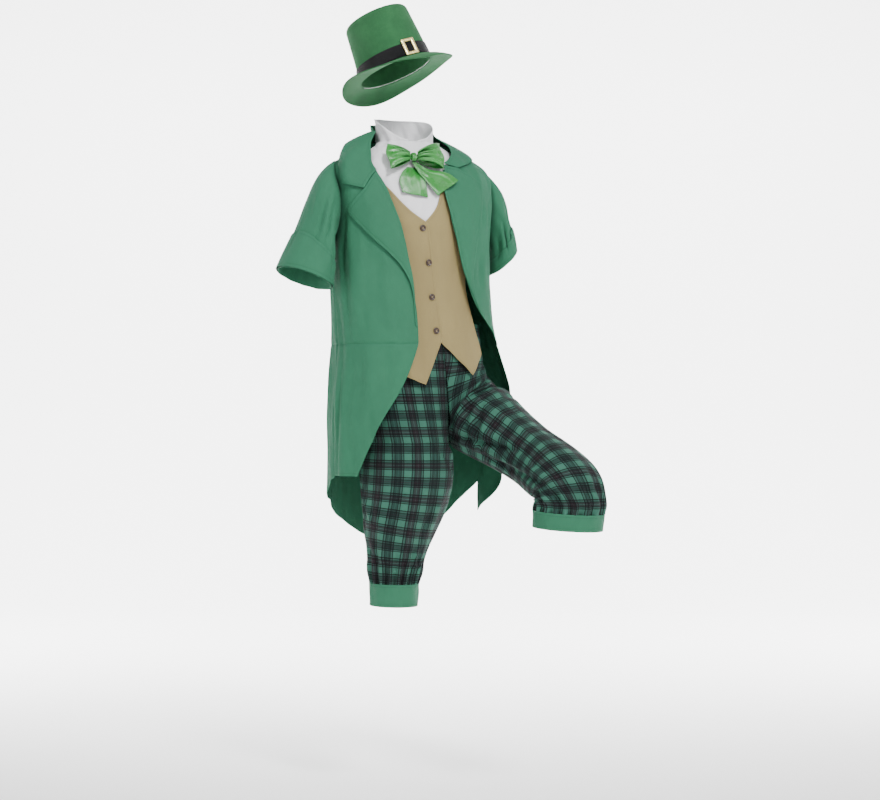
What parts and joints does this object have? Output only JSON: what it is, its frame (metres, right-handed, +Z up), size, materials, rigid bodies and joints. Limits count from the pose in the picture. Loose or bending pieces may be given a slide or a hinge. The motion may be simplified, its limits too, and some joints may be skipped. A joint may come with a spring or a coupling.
{
  "type": "leprechaun costume",
  "caption": "Leprechaun costume filled out as worn: tailcoat, waistcoat, shirt front, satin bow, checked breeches and buckled top hat.",
  "frame": {"origin": "base of the neck, on the shoulders that carry the coat, where the wearer holds the costume", "axes": "+Z up along the standing leg, -Y towards the viewer of the front, +X to the wearer's left"},
  "size_m": [0.7321, 0.4504, 1.3729],
  "materials": {
    "coat_cloth": "plain green woven polyester, matt",
    "waistcoat_cloth": "beige woven cloth with a faint sheen",
    "shirt_cloth": "white soft cloth",
    "satin": "bright green satin ribbon",
    "checked_cloth": "green, black and dark red check with pale lines",
    "hat_felt": "stiff green felt",
    "hat_band": "black woven ribbon",
    "buckle": "pale gold plated, lightly hammered",
    "button": "dark brown four-hole button"
  },
  "bodies": {
    "root": {"coat_front_right": "coat_cloth", "coat_front_left": "coat_cloth", "coat_back_right": "coat_cloth", "coat_back_left": "coat_cloth", "coat_skirt_right": "coat_cloth", "coat_skirt_left": "coat_cloth", "coat_tail_right": "coat_cloth", "coat_tail_left": "coat_cloth", "sleeve_right": "coat_cloth", "sleeve_left": "coat_cloth", "sleeve_cuff_right": "coat_cloth", "sleeve_cuff_left": "coat_cloth", "coat_collar": "coat_cloth", "lapel_right": "coat_cloth", "lapel_left": "coat_cloth", "knee_band_right": "coat_cloth", "knee_band_left": "coat_cloth", "shirt_collar": "shirt_cloth", "shirt_front": "shirt_cloth", "waistcoat_right": "waistcoat_cloth", "waistcoat_left": "waistcoat_cloth", "waistcoat_button_1": "button", "waistcoat_button_2": "button", "waistcoat_button_3": "button", "waistcoat_button_4": "button", "bow_loop_right": "satin", "bow_loop_left": "satin", "bow_knot": "satin", "bow_tail_right": "satin", "bow_tail_left": "satin", "breeches_front_right": "checked_cloth", "breeches_back_right": "checked_cloth", "breeches_front_left": "checked_cloth", "breeches_back_left": "checked_cloth", "hat_crown": "hat_felt", "hat_brim": "hat_felt", "hat_band": "hat_band", "hat_buckle": "buckle"}
  },
  "joints": []
}
